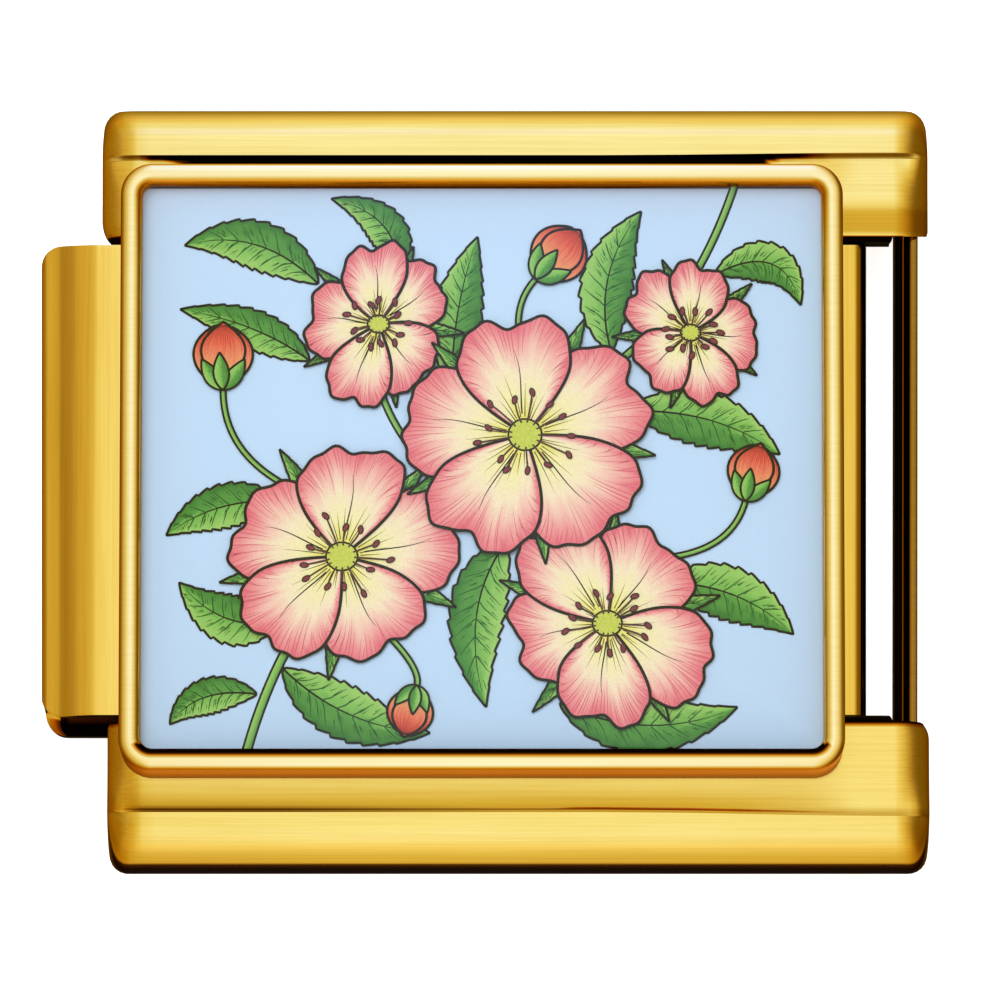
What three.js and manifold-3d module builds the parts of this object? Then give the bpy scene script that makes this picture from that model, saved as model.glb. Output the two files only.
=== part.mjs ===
// One link of a stretching charm bracelet, in millimetres, +Z out of the face.
// The origin is the middle of the body's back face. X runs along the bracelet, Y across it.
import * as THREE from 'three';
import { mergeVertices } from 'three/addons/utils/BufferGeometryUtils.js';
import Module from 'manifold-3d';

// Body: a back plate with both long edges rolled round to the front as rails.
const BODY_LENGTH = 9.66;
const BODY_WIDTH = 9.0;
const BODY_DEPTH = 2.1;
const BODY_SHEET = 0.22;
const BODY_CORNER = 0.24;
const BODY_END_ROUNDING = 0.14;
const BEAD_REACH = 0.495;
const BEAD_WRAP = THREE.MathUtils.degToRad(20);
const LEG_BEND = 0.16;
const LEG_INNER_Y = 2.79;
const LEG_CUT_Y = 2.87;
const LEG_EDGE_DROP = 0.55;
const LEG_TOP = BODY_DEPTH / 2 + (BODY_DEPTH - BODY_SHEET) / 2 * Math.cos(BEAD_WRAP) + BODY_SHEET / 2;

// Window through the right end, and the hemmed bar that the next link hooks onto.
const WINDOW_START = 4.02;
const WINDOW_HALF_WIDTH = 3.2;
const WINDOW_HEIGHT = 0.9;
const BAR_X = [4.415, 4.675];
const BAR_Z = [0.75, 1.84];
const BAR_SHEET = 0.1;
const BAR_HALF_LENGTH = 3.45;

// Stop tab, lanced out of the back plate and bent up into the sleeve.
const TAB_X = -4.22;
const TAB_HALF_WIDTH = 1.2;
const TAB_TOP = 1.55;

// Sleeve: a flat C of thinner sheet, whose left edge is the hook.
const SLEEVE_X = [-5.56, 4.06];
const SLEEVE_Z = [0.27, 1.98];
const SLEEVE_HALF_WIDTH = 2.72;
const SLEEVE_SHEET = 0.17;
const SLEEVE_CORNER = 0.3;
const SLEEVE_BEND = 0.2;
const HOOK_LIP_END = -4.26;
const HOOK_STEP_X = -4.92;
const HOOK_STEP_DROP = 0.06;
const RETURN_LIP_END = 2.6;

// Spring: a strip on edge between the stop tab and the sleeve's right wall.
const SPRING_SHEET = 0.12;
const SPRING_Z = [0.5, 1.74];
const SPRING_SWING = 2.2;
const SPRING_WAVES = 2.5;
const SPRING_GAP = 0.04;

// Face: a tray on the rails, a printed plate in it and a clear dome on top.
const TRAY_CENTRE_X = -0.4;
const TRAY_SIZE = [8.42, 7.13];
const TRAY_Z = [LEG_TOP, 3.0];
const TRAY_CORNER = 0.3;
const TRAY_RIM = 0.22;
const TRAY_FLOOR = 0.25;
const RIM_ROUNDING = 0.1;
const INSERT_THICKNESS = 0.3;
const INSERT_GAP = 0.02;
const DOME_EDGE_Z = 2.87;
const DOME_RISE = 0.3;
const DOME_CELLS = [18, 16];

const BEND_STEPS = 6;
const WAVE_STEPS = 24;

const wasm = await Module();
wasm.setup();

// A closed three.js geometry as a solid that can be joined and cut.
function solidOf(geometry) {
  const bare = geometry.clone();
  bare.deleteAttribute('normal');
  bare.deleteAttribute('uv');
  const merged = mergeVertices(bare, 1e-5);
  const triVerts = new Uint32Array(merged.index.array);
  const vertProperties = new Float32Array(merged.attributes.position.array);
  return new wasm.Manifold(new wasm.Mesh({ numProp: 3, vertProperties, triVerts }));
}

function geometryOf(solid) {
  const mesh = solid.getMesh();
  const geometry = new THREE.BufferGeometry();
  geometry.setAttribute('position', new THREE.BufferAttribute(mesh.vertProperties, 3));
  geometry.setIndex(new THREE.BufferAttribute(mesh.triVerts, 1));
  const flat = geometry.toNonIndexed();
  flat.computeVertexNormals();
  return flat;
}

// The outline of a sheet of one thickness whose middle line runs through the points.
function sheetShape(points, thickness) {
  const left = [];
  const right = [];
  points.forEach((point, i) => {
    const ahead = points[Math.min(i + 1, points.length - 1)];
    const behind = points[Math.max(i - 1, 0)];
    const inward = (i > 0 ? point.clone().sub(behind) : ahead.clone().sub(point)).normalize();
    const outward = (ahead !== point ? ahead.clone().sub(point) : inward.clone()).normalize();
    const along = inward.clone().add(outward).normalize();
    const reach = thickness / 2 / along.dot(inward);
    const side = new THREE.Vector2(-along.y, along.x).multiplyScalar(reach);
    left.push(point.clone().add(side));
    right.unshift(point.clone().sub(side));
  });
  return new THREE.Shape([...left, ...right]);
}

function extrude(shape, from, to, bevel = {}) {
  const options = { depth: to - from, bevelEnabled: false, curveSegments: BEND_STEPS, ...bevel };
  return new THREE.ExtrudeGeometry(shape, options).translate(0, 0, from);
}

// A shape drawn in Y and Z, drawn out along X.
function extrudeAlongX(shape, from, to) {
  const turn = new THREE.Matrix4().makeBasis(
    new THREE.Vector3(0, 1, 0),
    new THREE.Vector3(0, 0, 1),
    new THREE.Vector3(1, 0, 0),
  );
  return extrude(shape, from, to).applyMatrix4(turn);
}

// A shape drawn in X and Z, drawn out along Y to both sides.
function extrudeAcross(shape, halfWidth) {
  return extrude(shape, -halfWidth, halfWidth).rotateX(Math.PI / 2);
}

function roundedRectangle([left, right], [bottom, top], radius) {
  const shape = new THREE.Shape();
  shape.moveTo(left + radius, bottom);
  shape.lineTo(right - radius, bottom);
  shape.absarc(right - radius, bottom + radius, radius, -Math.PI / 2, 0, false);
  shape.lineTo(right, top - radius);
  shape.absarc(right - radius, top - radius, radius, 0, Math.PI / 2, false);
  shape.lineTo(left + radius, top);
  shape.absarc(left + radius, top - radius, radius, Math.PI / 2, Math.PI, false);
  shape.lineTo(left, bottom + radius);
  shape.absarc(left + radius, bottom + radius, radius, Math.PI, Math.PI * 1.5, false);
  return shape;
}

function box([x0, x1], [y0, y1], [z0, z1]) {
  const geometry = new THREE.BoxGeometry(x1 - x0, y1 - y0, z1 - z0);
  return geometry.translate((x0 + x1) / 2, (y0 + y1) / 2, (z0 + z1) / 2);
}

// The body's section in Y and Z: leg, bead and back plate, then the same mirrored.
function bodySection() {
  const half = BODY_SHEET / 2;
  const beadY = BODY_WIDTH / 2 - BEAD_REACH;
  const beadWide = BEAD_REACH - half;
  const beadTall = BODY_DEPTH / 2 - half;
  const middle = BODY_DEPTH / 2;
  const wrapEnd = Math.PI / 2 + BEAD_WRAP;
  const legZ = LEG_TOP - half;
  const edgeY = LEG_INNER_Y + half;
  const path = new THREE.Path();
  path.moveTo(-edgeY, BODY_DEPTH - LEG_EDGE_DROP);
  path.lineTo(-edgeY, legZ - LEG_BEND);
  path.absarc(-edgeY - LEG_BEND, legZ - LEG_BEND, LEG_BEND, 0, Math.PI / 2, false);
  path.absellipse(-beadY, middle, beadWide, beadTall, Math.PI - wrapEnd, Math.PI * 1.5, false);
  path.absellipse(beadY, middle, beadWide, beadTall, -Math.PI / 2, wrapEnd, false);
  path.absarc(edgeY + LEG_BEND, legZ - LEG_BEND, LEG_BEND, Math.PI / 2, Math.PI, false);
  path.lineTo(edgeY, BODY_DEPTH - LEG_EDGE_DROP);
  return sheetShape(path.getPoints(BEND_STEPS), BODY_SHEET);
}

// The bar's section in X and Z: a strip folded on itself, open at the top.
function barSection() {
  const left = BAR_X[0] + BAR_SHEET / 2;
  const right = BAR_X[1] - BAR_SHEET / 2;
  const radius = (right - left) / 2;
  const path = new THREE.Path();
  path.moveTo(left, BAR_Z[1]);
  path.lineTo(left, BAR_Z[0] + radius);
  path.absarc(left + radius, BAR_Z[0] + radius, radius, Math.PI, Math.PI * 2, false);
  path.lineTo(right, BAR_Z[1]);
  return sheetShape(path.getPoints(BEND_STEPS), BAR_SHEET);
}

// A block round the body whose corners and front edges are rounded off.
function bodyEnvelope([left, right], [bottom, top]) {
  const inset = BODY_END_ROUNDING;
  const radius = BODY_CORNER - inset;
  const shape = roundedRectangle([left + inset, right - inset], [bottom + inset, top - inset], radius);
  const rounding = { bevelEnabled: true, bevelThickness: inset, bevelSize: inset, bevelSegments: 3 };
  return extrude(shape, -1, BODY_DEPTH - inset, rounding);
}

function linkBody() {
  const ends = [-BODY_LENGTH / 2, BODY_LENGTH / 2];
  const sides = [-BODY_WIDTH / 2, BODY_WIDTH / 2];
  const folded = solidOf(extrudeAlongX(bodySection(), ...ends));
  const outline = solidOf(bodyEnvelope(ends, sides));
  const windowSides = [-WINDOW_HALF_WIDTH, WINDOW_HALF_WIDTH];
  const windowCut = solidOf(box([WINDOW_START, ends[1] + 1], windowSides, [-1, WINDOW_HEIGHT]));
  const legSides = [-LEG_CUT_Y, LEG_CUT_Y];
  const legCut = solidOf(box([BAR_X[0], ends[1] + 1], legSides, [WINDOW_HEIGHT, BODY_DEPTH + 1]));
  const tabSides = [-TAB_HALF_WIDTH, TAB_HALF_WIDTH];
  const tabInner = TAB_X + BODY_SHEET;
  const tab = solidOf(box([TAB_X, tabInner], tabSides, [BODY_SHEET / 2, TAB_TOP]));
  const tabHole = solidOf(box([tabInner, tabInner + TAB_TOP - BODY_SHEET], tabSides, [-1, 1]));
  const bar = solidOf(extrudeAcross(barSection(), BAR_HALF_LENGTH));
  const cut = windowCut.add(legCut).add(tabHole);
  return folded.intersect(outline).subtract(cut).add(tab).add(bar);
}

// The sleeve's section in X and Z: return lip, right roll, front wall, hook and hook lip.
function sleeveSection() {
  const half = SLEEVE_SHEET / 2;
  const [left, right] = [SLEEVE_X[0] + half, SLEEVE_X[1] - half];
  const [back, front] = [SLEEVE_Z[0] + half, SLEEVE_Z[1] - half];
  const hookFront = front - HOOK_STEP_DROP;
  const bend = SLEEVE_BEND;
  const path = new THREE.Path();
  path.moveTo(RETURN_LIP_END, back);
  path.absarc(right - bend, back + bend, bend, -Math.PI / 2, 0, false);
  path.absarc(right - bend, front - bend, bend, 0, Math.PI / 2, false);
  path.lineTo(HOOK_STEP_X + HOOK_STEP_DROP, front);
  path.lineTo(HOOK_STEP_X - HOOK_STEP_DROP, hookFront);
  path.absarc(left + bend, hookFront - bend, bend, Math.PI / 2, Math.PI, false);
  path.absarc(left + bend, back + bend, bend, Math.PI, Math.PI * 1.5, false);
  path.lineTo(HOOK_LIP_END, back);
  return sheetShape(path.getPoints(BEND_STEPS), SLEEVE_SHEET);
}

function hookSleeve() {
  const sides = [-SLEEVE_HALF_WIDTH, SLEEVE_HALF_WIDTH];
  const folded = solidOf(extrudeAcross(sleeveSection(), SLEEVE_HALF_WIDTH));
  const reach = [SLEEVE_X[0], SLEEVE_X[1] + SLEEVE_CORNER];
  return folded.intersect(solidOf(extrude(roundedRectangle(reach, sides, SLEEVE_CORNER), 0, BODY_DEPTH)));
}

// A strip on edge that swings from side to side between the tab and the sleeve's right wall.
function waveSpring() {
  const start = TAB_X + BODY_SHEET + SPRING_GAP + SPRING_SHEET / 2;
  const end = SLEEVE_X[1] - SLEEVE_SHEET - SPRING_GAP - SPRING_SHEET / 2;
  const steps = SPRING_WAVES * WAVE_STEPS;
  const points = Array.from({ length: steps + 1 }, (_, i) => {
    const turn = (i / WAVE_STEPS) * Math.PI * 2 - Math.PI / 2;
    return new THREE.Vector2(THREE.MathUtils.lerp(start, end, i / steps), SPRING_SWING * Math.sin(turn));
  });
  return solidOf(extrude(sheetShape(points, SPRING_SHEET), ...SPRING_Z));
}

// The tray's outline in plan, drawn in from its edge by an inset.
function trayOutline(inset, radius) {
  const [length, width] = TRAY_SIZE.map((size) => size / 2 - inset);
  return roundedRectangle([TRAY_CENTRE_X - length, TRAY_CENTRE_X + length], [-width, width], radius);
}

function faceTray() {
  const rounding = RIM_ROUNDING;
  const rim = { bevelEnabled: true, bevelThickness: rounding, bevelSize: rounding, bevelSegments: 3 };
  const block = extrude(trayOutline(rounding, TRAY_CORNER), TRAY_Z[0] + rounding, TRAY_Z[1] - rounding, rim);
  const cavity = extrude(trayOutline(TRAY_RIM, TRAY_CORNER / 2), TRAY_Z[0] + TRAY_FLOOR, TRAY_Z[1] + 1);
  const mouth = { bevelEnabled: true, bevelThickness: rounding, bevelSize: rounding, bevelSegments: 1 };
  const flare = extrude(trayOutline(TRAY_RIM, TRAY_CORNER / 2), TRAY_Z[1], TRAY_Z[1] + 1, mouth);
  return solidOf(block).subtract(solidOf(cavity)).subtract(solidOf(flare));
}

function printInsert() {
  const floor = TRAY_Z[0] + TRAY_FLOOR;
  const outline = trayOutline(TRAY_RIM + INSERT_GAP, TRAY_CORNER / 2);
  return solidOf(extrude(outline, floor, floor + INSERT_THICKNESS));
}

// A clear cast with upright sides whose top swells from its edges to a nearly flat middle.
function epoxyDome() {
  const base = TRAY_Z[0] + TRAY_FLOOR + INSERT_THICKNESS;
  const [length, width] = TRAY_SIZE.map((size) => size - 2 * (TRAY_RIM + INSERT_GAP));
  const block = new THREE.BoxGeometry(length, width, DOME_EDGE_Z - base, ...DOME_CELLS, 1);
  block.translate(TRAY_CENTRE_X, 0, (DOME_EDGE_Z + base) / 2);
  const position = block.attributes.position;
  for (let i = 0; i < position.count; i += 1) {
    if (position.getZ(i) > base + 1e-6) {
      const across = Math.abs((position.getX(i) - TRAY_CENTRE_X) / (length / 2));
      const along = Math.abs(position.getY(i) / (width / 2));
      const swell = (1 - across ** 4) * (1 - along ** 4);
      position.setZ(i, DOME_EDGE_Z + DOME_RISE * swell);
    }
  }
  const outline = trayOutline(TRAY_RIM + INSERT_GAP, TRAY_CORNER / 2);
  return solidOf(block).intersect(solidOf(extrude(outline, 0, DOME_EDGE_Z + 1)));
}

function piece(name, solid, material) {
  const mesh = new THREE.Mesh(geometryOf(solid), new THREE.MeshStandardMaterial(material));
  mesh.name = name;
  return mesh;
}

const GOLD = { color: '#e9bf4a', roughness: 0.18, metalness: 1 };
const STEEL = { color: '#b9b7b2', roughness: 0.35, metalness: 1 };
const PRINT = { color: '#c0d8f0', roughness: 0.5, metalness: 0 };
const CLEAR = { color: '#f4f8fb', roughness: 0.05, metalness: 0, transparent: true, opacity: 0.25 };

const link = new THREE.Group();
link.add(
  piece('link_body', linkBody(), GOLD),
  piece('hook_sleeve', hookSleeve(), GOLD),
  piece('wave_spring', waveSpring(), STEEL),
  piece('face_tray', faceTray(), GOLD),
  piece('print_insert', printInsert(), PRINT),
  piece('epoxy_dome', epoxyDome(), CLEAR),
);

export default link;
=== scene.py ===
import math
import random

import bpy
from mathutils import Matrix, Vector


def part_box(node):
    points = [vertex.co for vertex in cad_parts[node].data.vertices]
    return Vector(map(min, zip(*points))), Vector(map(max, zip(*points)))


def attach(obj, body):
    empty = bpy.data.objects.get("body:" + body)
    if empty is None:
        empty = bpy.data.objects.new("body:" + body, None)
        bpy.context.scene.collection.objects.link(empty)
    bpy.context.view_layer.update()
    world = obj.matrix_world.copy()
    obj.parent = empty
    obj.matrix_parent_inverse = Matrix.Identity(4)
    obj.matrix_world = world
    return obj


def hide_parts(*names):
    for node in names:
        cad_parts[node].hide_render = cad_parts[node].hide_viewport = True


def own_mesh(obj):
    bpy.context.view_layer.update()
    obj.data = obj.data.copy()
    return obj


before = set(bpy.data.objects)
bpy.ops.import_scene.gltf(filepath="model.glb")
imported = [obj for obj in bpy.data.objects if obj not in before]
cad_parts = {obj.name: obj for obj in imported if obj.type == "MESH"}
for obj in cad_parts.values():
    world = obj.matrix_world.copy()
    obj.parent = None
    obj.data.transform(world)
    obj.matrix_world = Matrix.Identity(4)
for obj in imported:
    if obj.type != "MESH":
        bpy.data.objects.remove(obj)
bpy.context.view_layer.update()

# Sizes in this file are in millimetres; toMetres takes them to the frame's own unit.
toMetres = 0.001
print("frame loaded:", ", ".join(sorted(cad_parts)))


def boxInMm(node):
    low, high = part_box(node)
    return low / toMetres, high / toMetres


def hexColour(code):
    parts = [int(code[i:i + 2], 16) / 255 for i in (1, 3, 5)]
    linear = [c / 12.92 if c <= 0.04045 else ((c + 0.055) / 1.055) ** 2.4 for c in parts]
    return (*linear, 1.0)


def addNode(tree, kind, links=(), stops=(), **settings):
    # links holds pairs of an input and a value, a socket or a node, whose first output is then used;
    # stops holds a ramp's pairs of a place and a colour
    node = tree.nodes.new("ShaderNode" + kind)
    for name, value in settings.items():
        setattr(node, name, value)
    for name, value in links:
        if isinstance(value, bpy.types.Node):
            value = value.outputs[0]
        if isinstance(value, bpy.types.NodeSocket):
            tree.links.new(value, node.inputs[name])
        else:
            node.inputs[name].default_value = value
    if stops:
        ramp = node.color_ramp.elements
        ramp.remove(ramp[-1])
        ramp[0].position = stops[0][0]
        ramp[0].color = hexColour(stops[0][1])
        for place, code in stops[1:]:
            ramp.new(place).color = hexColour(code)
    return node


# settings of a Mix node: its colours are inputs 6 and 7, and its colour is output 2
blendColours = {"data_type": "RGBA"}
multiplyColours = {"data_type": "RGBA", "blend_type": "MULTIPLY"}


def newMaterial(name):
    material = bpy.data.materials.new(name)
    material.use_nodes = True
    material.node_tree.nodes.clear()
    return material, material.node_tree


def showShader(tree, shader):
    addNode(tree, "OutputMaterial", [("Surface", shader)])


def smoothStep(low, high, value):
    share = min(max((value - low) / (high - low), 0), 1)
    return share * share * (3 - 2 * share)


def makePiece(name, points, faces, material):
    mesh = bpy.data.meshes.new(name)
    mesh.from_pydata([[c * toMetres for c in p] for p in points], [], faces)
    mesh.validate()
    mesh.shade_smooth()
    mesh.materials.append(material)
    piece = bpy.data.objects.new(name, mesh)
    bpy.context.scene.collection.objects.link(piece)
    return piece


def gridFaces(rows, columns, skip=None, loop=False):
    faces = []
    for row in range(rows - 1):
        for column in range(columns if loop else columns - 1):
            if skip and skip(row, column):
                continue
            following = (column + 1) % columns
            a, b = row * columns + column, row * columns + following
            faces.append((a, b, b + columns, a + columns))
    return faces


def arcPoints(centre, radii, start, end, steps):
    # an ellipse's arc between two angles in degrees, both ends included
    angles = [math.radians(start + (end - start) * i / steps) for i in range(steps + 1)]
    return [(centre[0] + radii[0] * math.cos(a), centre[1] + radii[1] * math.sin(a)) for a in angles]


def cornerInset(distance, radius):
    # how far a quarter round of this radius stands back, this far in from its end
    gap = min(max(radius - distance, 0.0), radius)
    return radius - math.sqrt(radius ** 2 - gap ** 2)


def thickenSheet(piece, sheet, edge, offset=-1):
    # the outer skin gets its sheet thickness inward, and every cut edge is tumbled round
    solidify = piece.modifiers.new("sheet", "SOLIDIFY")
    solidify.thickness = sheet * toMetres
    solidify.offset = offset
    solidify.use_even_offset = True
    bevel = piece.modifiers.new("edges", "BEVEL")
    bevel.width = edge * toMetres
    bevel.segments = 3
    bevel.limit_method = "ANGLE"
    bevel.angle_limit = math.radians(50)
    graph = bpy.context.evaluated_depsgraph_get()
    finished = bpy.data.meshes.new_from_object(piece.evaluated_get(graph))
    piece.modifiers.clear()
    piece.data = finished
    finished.shade_smooth()
    finished.set_sharp_from_angle(angle=math.radians(35))


def settle(piece, body, node):
    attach(piece, body)
    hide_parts(node)


# The view: nearly straight down on the face, a little from the picture's lower side, with a long lens.
cameraSetup = {
    "elevation": 82.0,
    "distance": 130.0,
    "frameWidth": 11.73,
    "target": (-0.19, -0.10, 1.05),
    "sensor": 36.0,
}


def makeCamera(setup):
    data = bpy.data.cameras.new("productCamera")
    data.sensor_width = setup["sensor"]
    data.lens = setup["sensor"] * setup["distance"] / setup["frameWidth"]
    data.clip_start, data.clip_end = 0.005, 10
    tilt = math.radians(setup["elevation"])
    back = Vector((0, -math.cos(tilt), math.sin(tilt)))
    camera = bpy.data.objects.new("productCamera", data)
    camera.location = (Vector(setup["target"]) + back * setup["distance"]) * toMetres
    camera.rotation_mode = "QUATERNION"
    camera.rotation_quaternion = (-back).to_track_quat("-Z", "Y")
    bpy.context.scene.collection.objects.link(camera)
    bpy.context.scene.camera = camera


makeCamera(cameraSetup)
print("camera placed")


# The studio: a long bright tent over the link, from the picture's top to its bottom, and warm dark sides.
studio = {
    "reflectionStrength": 2.5,
    # what polished metal sees towards the picture's bottom and top, from straight down (0) to up (1)
    "bottomSide": [
        (0.0, "#0E070D"), (0.04, "#0F0802"), (0.078, "#2A1605"), (0.095, "#96803A"), (0.12, "#958B49"),
        (0.172, "#968C49"), (0.37, "#ACAA84"), (0.485, "#ABB39D"), (0.585, "#ADB6AE"), (0.82, "#ADBAB8"),
        (0.953, "#ADB9B2"), (1.0, "#ACB7AD"),
    ],
    "topSide": [
        (0.0, "#241A0D"), (0.01, "#523B17"), (0.08, "#74631A"), (0.242, "#A39B69"), (0.35, "#A7AC8A"),
        (0.6, "#ACBECD"), (0.75, "#AEC2FF"), (0.933, "#AEC0D3"), (0.97, "#ADBED0"), (0.985, "#ACBABC"),
        (0.995, "#ACB7AD"), (1.0, "#ACB7AD"),
    ],
    # how the tent falls off from overhead (0.5) to the left (0) and to the right (1)
    "sideFall": [
        (0.0, "#A0741A"), (0.075, "#A4791C"), (0.125, "#AA8226"), (0.175, "#B58E38"), (0.24, "#C8A34A"),
        (0.285, "#CFAA50"), (0.335, "#D5B35A"), (0.4, "#E0C878"), (0.455, "#F4E6BC"), (0.5, "#FFFFFF"),
        (0.545, "#F6E8BE"), (0.6, "#E8CF84"), (0.665, "#D6B560"), (0.715, "#C6A14E"), (0.76, "#B38C3A"),
        (0.825, "#936E24"), (0.88, "#825E12"), (0.925, "#7B590C"), (1.0, "#7A5808"),
    ],
    "sideScale": (0.385, 0.615),  # how fast it does, for what looks up and for what looks down
    "seam": 0.15,  # how softly the tent's two sides meet
    "roomColour": "#FFFFFF",
    "roomStrength": 0.66,
    "softboxSize": 120.0,
    "softboxHeight": 180.0,
    "softboxShift": (-30.0, 40.0),
    "softboxPower": 0.2,
}


def makeStudio(setup):
    world = bpy.data.worlds.new("studioRoom")
    bpy.context.scene.world = world
    world.use_nodes = True
    tree = world.node_tree
    tree.nodes.clear()
    direction = addNode(tree, "TexCoord").outputs["Generated"]
    parts = addNode(tree, "SeparateXYZ", [("Vector", direction)])
    upScale, downScale = setup["sideScale"]
    height = addNode(tree, "MapRange", [("Value", parts.outputs["Z"]), ("From Min", -1.0)])
    under = addNode(tree, "MapRange", [
        ("Value", parts.outputs["Z"]), ("From Min", -1.0), ("To Min", downScale), ("To Max", upScale)])
    across = addNode(tree, "Math", [(0, parts.outputs["X"]), (1, under), (2, 0.5)], operation="MULTIPLY_ADD")
    upward = addNode(tree, "MapRange", [
        ("Value", parts.outputs["Y"]), ("From Min", -setup["seam"]), ("From Max", setup["seam"])])
    bottom, top = [addNode(tree, "ValToRGB", [("Fac", height)], setup[side])
                   for side in ("bottomSide", "topSide")]
    tent = addNode(tree, "Mix", [(0, upward), (6, bottom), (7, top)], **blendColours)
    fall = addNode(tree, "ValToRGB", [("Fac", across)], setup["sideFall"])
    seenColour = addNode(tree, "Mix", [(0, 1.0), (6, tent.outputs[2]), (7, fall)], **multiplyColours)
    seen = addNode(tree, "Background", [
        ("Color", seenColour.outputs[2]), ("Strength", setup["reflectionStrength"])])
    room = addNode(tree, "Background", [
        ("Color", hexColour(setup["roomColour"])), ("Strength", setup["roomStrength"])])
    rays = addNode(tree, "LightPath")
    mix = addNode(tree, "MixShader", [(0, rays.outputs["Is Glossy Ray"]), (1, room), (2, seen)])
    addNode(tree, "OutputWorld", [("Surface", mix)])

    data = bpy.data.lights.new("overheadSoftbox", "AREA")
    data.shape = "SQUARE"
    data.size = setup["softboxSize"] * toMetres
    data.energy = setup["softboxPower"]
    softbox = bpy.data.objects.new("overheadSoftbox", data)
    softbox.location = Vector((*setup["softboxShift"], setup["softboxHeight"])) * toMetres
    softbox.rotation_mode = "QUATERNION"
    softbox.rotation_quaternion = softbox.location.to_track_quat("Z", "Y")
    softbox.visible_glossy = False
    bpy.context.scene.collection.objects.link(softbox)

    scene = bpy.context.scene
    scene.view_settings.view_transform = "Standard"
    scene.view_settings.look = "None"


makeStudio(studio)
print("studio lit")


# A pale table top that glows a little, like a light table, so the window shows bright.
tableTop = {"size": 400.0, "below": 0.002, "colour": "#F6F6F4", "glow": 0.85, "frosting": 1.25}


def makeTableTop(setup):
    # frosted acrylic: an even, pale surface without a clear mirror image
    material, tree = newMaterial("frostedAcrylicTable")
    noise = addNode(tree, "TexNoise", [("Scale", 1 / (setup["frosting"] * toMetres)), ("Detail", 3.0)])
    rough = addNode(tree, "MapRange", [("Value", noise), ("To Min", 0.55), ("To Max", 0.7)])
    showShader(tree, addNode(tree, "BsdfPrincipled", [
        ("Base Color", hexColour(setup["colour"])), ("Roughness", rough),
        ("Emission Color", hexColour(setup["colour"])), ("Emission Strength", setup["glow"])]))
    half, level = setup["size"] / 2, -setup["below"]
    points = [(-half, -half, level), (half, -half, level), (half, half, level), (-half, half, level)]
    table = makePiece("tableTop", points, [(0, 1, 2, 3)], material)
    table.visible_glossy = False


makeTableTop(tableTop)
print("table top laid")


# Gold plate over stainless sheet, tumbled to a shine: a warm mirror that keeps faint rolling lines.
goldPlate = {
    "colour": "#FDDA89",
    "worn": "#F8D27A",
    "roughness": (0.06, 0.12),
    "lineSpacing": 0.035,  # across the rolling lines
    "lineLength": 2.4,  # along them
    "lineDepth": 0.0002,
    "lineShade": "#F8F3E9",  # how much the lines shade the gold
    "cloudSize": 1.4,  # slow changes of tone
    # painted shade and reflection for the folds: from clean metal through painted gold-on-gold reflection in
    # corners to painted black shade deep in the folds
    "folds": [(0.0, "#FFFFFF"), (0.25, "#E0CB7C"), (0.5, "#E8982E"), (0.75, "#8A5410"), (1.0, "#0C0603")],
    "foldRoughness": 0.45,
    "paintedCreaseShade": "#8E7434",  # the brown that the painted shade in a crease multiplies in
    "polish": 0.0,  # 1 takes all rolling lines away
    "edgeTint": "#FFFFFF",  # what the mirror turns to at a glancing angle
}


def rollingLines(tree, place, along, setup):
    # noise drawn out along the sheet's rolling direction
    fine, coarse = 1 / (setup["lineSpacing"] * toMetres), 1 / (setup["lineLength"] * toMetres)
    scale = [coarse if axis == along else fine for axis in "XYZ"]
    stretched = addNode(tree, "Mapping", [("Vector", place), ("Scale", scale)])
    return addNode(tree, "TexNoise", [
        ("Vector", stretched), ("Scale", 1.0), ("Detail", 3.0), ("Roughness", 0.6)])


def makeGoldPlate(name, along, setup, **changes):
    setup = {**setup, **changes}
    dull = 1 - setup["polish"]
    material, tree = newMaterial(name)
    place = addNode(tree, "TexCoord").outputs["Object"]
    lines = rollingLines(tree, place, along, setup)
    cloud = addNode(tree, "TexNoise", [
        ("Vector", place), ("Scale", 1 / (setup["cloudSize"] * toMetres)), ("Detail", 2.0)])
    tone = addNode(tree, "Mix", [
        (0, cloud), (6, hexColour(setup["colour"])), (7, hexColour(setup["worn"]))], **blendColours)
    shade = addNode(tree, "ValToRGB", [("Fac", lines)], [(0.36, setup["lineShade"]), (0.6, "#FFFFFF")])
    lined = addNode(tree, "Mix", [(0, dull), (6, tone.outputs[2]), (7, shade)], **multiplyColours)
    # painted shade and painted reflection: the fold mark picks a colour from the fold ramp, the crease mark
    # multiplies in a brown painted shade, and folds are rougher too
    fold, paintedCreaseShade = [addNode(tree, "Attribute", attribute_name=mark).outputs["Fac"]
                     for mark in ("paintedFoldShade", "paintedCreaseShade")]
    folds = addNode(tree, "ValToRGB", [("Fac", fold)], setup["folds"])
    folded = addNode(tree, "Mix", [(0, 1.0), (6, lined.outputs[2]), (7, folds)], **multiplyColours)
    finish = addNode(tree, "Mix", [
        (0, paintedCreaseShade), (6, folded.outputs[2]), (7, hexColour(setup["paintedCreaseShade"]))], **multiplyColours)
    low, high = [amount * dull for amount in setup["roughness"]]
    rough = addNode(tree, "MapRange", [("Value", lines), ("To Min", low), ("To Max", high)])
    dulled = addNode(tree, "Mix", [(0, fold), (2, rough), (3, setup["foldRoughness"])])
    bump = addNode(tree, "Bump", [
        ("Height", lines), ("Strength", dull), ("Distance", setup["lineDepth"] * toMetres)])
    showShader(tree, addNode(tree, "BsdfPrincipled", [
        ("Base Color", finish.outputs[2]), ("Metallic", 1.0), ("Roughness", dulled),
        ("Specular Tint", hexColour(setup["edgeTint"])), ("Normal", bump)]))
    return material


railGold = makeGoldPlate("goldPlatedRails", "X", goldPlate)
hookGold = makeGoldPlate("goldPlatedHook", "Y", goldPlate, colour="#FDD67E", worn="#F9CE70")
trayGold = makeGoldPlate("goldPlatedTray", "X", goldPlate, polish=0.5, colour="#FFE6C0", worn="#FDE0B2",
                         edgeTint="#E6B450")
print("gold plate mixed")


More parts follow.
